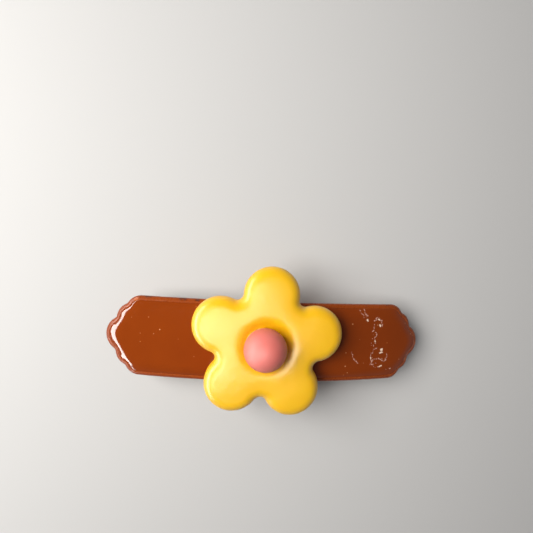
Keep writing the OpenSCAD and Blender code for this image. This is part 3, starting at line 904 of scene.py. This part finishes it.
class CLIP_OT_adhesive(bpy.types.Operator):
    """Lays an uneven bead of adhesive round the ball's seat"""
    bl_idname = "hair_clip.adhesive"
    bl_label = "Adhesive"

    def execute(self, context):
        flower = context.scene.clip_flower
        centre = (BALL_HIGH + BALL_LOW) / 2
        bm = bmesh.new()
        bmesh.ops.create_circle(bm, segments=14, radius=BEAD_THICK)
        bmesh.ops.rotate(bm, verts=bm.verts, cent=(0, 0, 0),
                         matrix=Matrix.Rotation(math.pi / 2, 3, "X"))
        bmesh.ops.translate(bm, verts=bm.verts, vec=(BEAD_R, 0, 0))
        bmesh.ops.spin(bm, geom=bm.verts[:] + bm.edges[:], cent=(0, 0, 0), axis=(0, 0, 1),
                       angle=ROUND, steps=144, use_merge=True)
        bmesh.ops.remove_doubles(bm, verts=bm.verts, dist=MERGE_SPUN)
        for vert in bm.verts:
            turn = math.atan2(vert.co.y, vert.co.x)
            swell = (1 + 0.22 * math.sin(3 * turn + 0.6) + 0.16 * math.sin(7 * turn + 2)
                     + 0.08 * math.sin(17 * turn))
            middle = Vector((math.cos(turn), math.sin(turn), 0)) * BEAD_R
            vert.co = middle + (vert.co - middle) * swell
        bmesh.ops.translate(bm, verts=bm.verts, vec=(centre.x, centre.y, BEAD_Z))
        finish_mesh(bm, "adhesive_bead", glue_material(flower), "bar", "adhesive", "ball_glue")
        return {"FINISHED"}


class CLIP_OT_steel(bpy.types.Operator):
    """Eases the edges of the steel pieces and gives them their plated finish"""
    bl_idname = "hair_clip.steel"
    bl_label = "Steel Barrette"

    def execute(self, context):
        steel = context.scene.clip_steel
        finishes = {
            "nickel": steel_material("nickel_plate", steel.nickel, 0.2, 0.34, 0.000004),
            "spring": steel_material("spring_steel", steel.spring, 0.16, 0.3, 0.000006),
            "rivet": steel_material("rivet_steel", steel.rivet, 0.14, 0.26, 0.000002),
        }
        slots = {"nickel": "nickel", "spring": "spring_steel", "rivet": "nickel"}
        flat, corner, crease = math.radians(0.5), math.radians(35), math.radians(40)
        for node, (finish, ease, body) in STEEL_PARTS.items():
            bm = bmesh.new()
            bm.from_mesh(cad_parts[node].data)
            bmesh.ops.remove_doubles(bm, verts=bm.verts, dist=MERGE_SPUN)
            bmesh.ops.dissolve_limit(bm, angle_limit=flat, verts=bm.verts, edges=bm.edges)
            edges = [e for e in bm.edges if e.calc_face_angle(0) > corner]
            bmesh.ops.bevel(bm, geom=edges, offset=ease * MM, offset_type="OFFSET",
                            segments=2, profile=0.5, affect="EDGES", material=-1,
                            clamp_overlap=True)
            bmesh.ops.triangulate(bm, faces=[f for f in bm.faces if len(f.verts) > 4])
            finish_mesh(bm, "eased_" + node, finishes[finish], body, slots[finish], node,
                        sharp=crease)
        return {"FINISHED"}


class CLIP_OT_studio(bpy.types.Operator):
    """Sets the camera, the soft lights and the pale floor"""
    bl_idname = "hair_clip.studio"
    bl_label = "Studio"

    def execute(self, context):
        scene = context.scene
        studio = scene.clip_studio
        self.set_camera(scene, studio)
        self.set_lights(scene, studio)
        self.set_room(scene, studio)
        self.lay_floor(scene, studio)
        return {"FINISHED"}

    def set_camera(self, scene, studio):
        """The camera, looking down on the clip."""
        look = CAMERA_LOOK.normalized()
        right = look.cross(CAMERA_UP).normalized()
        up = right.cross(look)
        camera = bpy.data.cameras.new("clip_camera")
        camera.lens = studio.focal_length
        camera.sensor_width = 36
        camera.clip_start = 0.002
        camera.clip_end = 50
        holder = bpy.data.objects.new("clip_camera", camera)
        scene.collection.objects.link(holder)
        turn = Matrix((right, up, -look)).transposed().to_4x4()
        holder.matrix_world = Matrix.Translation(CAMERA_EYE) @ turn
        scene.camera = holder

    def set_lights(self, scene, studio):
        """A soft key, a long light for the enamel to mirror, and one for the satin pieces."""
        self.add_light(scene, "key_light", studio.key, (0.16, 0.16), (-0.15, 0.05, 0.19),
                       (1.0, 0.97, 0.93), mirrored=False)
        self.add_light(scene, "window_light", studio.window, (0.50, 0.045), (-0.24, -0.02, 0.06),
                       (1.0, 0.99, 0.97), spreads=False)
        satin_light = self.add_light(scene, "satin_light", studio.satin, (0.14, 0.28),
                                     (-0.1, -0.05, 0.275), (1.0, 0.98, 0.95), spreads=False)
        satin = bpy.data.collections.new("satin_pieces")
        for name in SATIN_PIECES:
            satin.objects.link(bpy.data.objects[name])
        satin_light.light_linking.receiver_collection = satin

    def set_room(self, scene, studio):
        """Dim light from all round, paler near the horizon."""
        world = bpy.data.worlds.new("room")
        world.use_nodes = True
        maker = NodeMaker(world.node_tree)
        way = maker.add("ShaderNodeTexCoord").outputs["Generated"]
        height = maker.add("ShaderNodeSeparateXYZ", {"Vector": way}).outputs["Z"]
        overhead = maker.span(height, 0.15, 0.6, smooth=True)
        background = world.node_tree.nodes["Background"]
        world.node_tree.links.new(maker.mix(overhead, HORIZON, OVERHEAD),
                                  background.inputs["Color"])
        background.inputs["Strength"].default_value = studio.room
        scene.world = world
        scene.view_settings.view_transform = "Standard"

    def lay_floor(self, scene, studio):
        """The pale floor, just under the clip."""
        bm = bmesh.new()
        bmesh.ops.create_grid(bm, x_segments=1, y_segments=1, size=3)
        bmesh.ops.translate(bm, verts=bm.verts, vec=(0, 0, cad_box[0][2] - FLOOR_GAP))
        mesh = bpy.data.meshes.new("pale_floor")
        bm.to_mesh(mesh)
        bm.free()
        floor = bpy.data.objects.new("pale_floor", mesh)
        scene.collection.objects.link(floor)
        mesh.materials.append(floor_material(studio))

    def add_light(self, scene, name, power, size, place, colour, mirrored=True, spreads=True):
        """A rectangular area light that faces the clip.

        It may be left out of reflections, or light by reflection only.
        """
        light = bpy.data.lights.new(name, "AREA")
        light.shape = "RECTANGLE"
        light.size, light.size_y = size
        light.energy = power
        light.color = colour
        lamp = bpy.data.objects.new(name, light)
        lamp.visible_glossy = mirrored
        lamp.visible_diffuse = spreads
        scene.collection.objects.link(lamp)
        place = Vector(place)
        lamp.location = place
        lamp.rotation_euler = (-place).to_track_quat("-Z", "Y").to_euler()
        return lamp


class CLIP_PT_panel(bpy.types.Panel):
    """Lists the pieces of the hair clip"""
    bl_idname = "CLIP_PT_panel"
    bl_label = "Hair Clip"
    bl_space_type = "VIEW_3D"
    bl_region_type = "UI"
    bl_category = "Hair Clip"

    def draw(self, context):
        for group, operators in PANEL_ROWS:
            box = self.layout.box()
            settings = getattr(context.scene, group)
            for label in settings.bl_rna.properties.keys():
                if label not in ("rna_type", "name"):
                    box.prop(settings, label)
            for operator in operators:
                box.operator(operator.bl_idname)


OPERATORS = (CLIP_OT_plate, CLIP_OT_enamel, CLIP_OT_flower, CLIP_OT_ball, CLIP_OT_adhesive,
             CLIP_OT_steel, CLIP_OT_studio)
SETTINGS = {"clip_bar": ClipBarSettings, "clip_flower": ClipFlowerSettings,
            "clip_steel": ClipSteelSettings, "clip_studio": ClipStudioSettings}
PANEL_ROWS = (("clip_bar", (CLIP_OT_plate, CLIP_OT_enamel)),
              ("clip_flower", (CLIP_OT_flower, CLIP_OT_ball, CLIP_OT_adhesive)),
              ("clip_steel", (CLIP_OT_steel,)), ("clip_studio", (CLIP_OT_studio,)))


def register():
    for settings in SETTINGS.values():
        bpy.utils.register_class(settings)
    for operator in OPERATORS:
        bpy.utils.register_class(operator)
    bpy.utils.register_class(CLIP_PT_panel)
    for name, settings in SETTINGS.items():
        setattr(bpy.types.Scene, name, bpy.props.PointerProperty(type=settings))


def unregister():
    for name in SETTINGS:
        delattr(bpy.types.Scene, name)
    bpy.utils.unregister_class(CLIP_PT_panel)
    for operator in reversed(OPERATORS):
        bpy.utils.unregister_class(operator)
    for settings in SETTINGS.values():
        bpy.utils.unregister_class(settings)


def main():
    register()
    build_groups()
    bpy.ops.hair_clip.plate()
    bpy.ops.hair_clip.enamel()
    bpy.ops.hair_clip.flower()
    bpy.ops.hair_clip.ball()
    bpy.ops.hair_clip.adhesive()
    bpy.ops.hair_clip.steel()
    bpy.ops.hair_clip.studio()


if __name__ == "__main__":
    main()
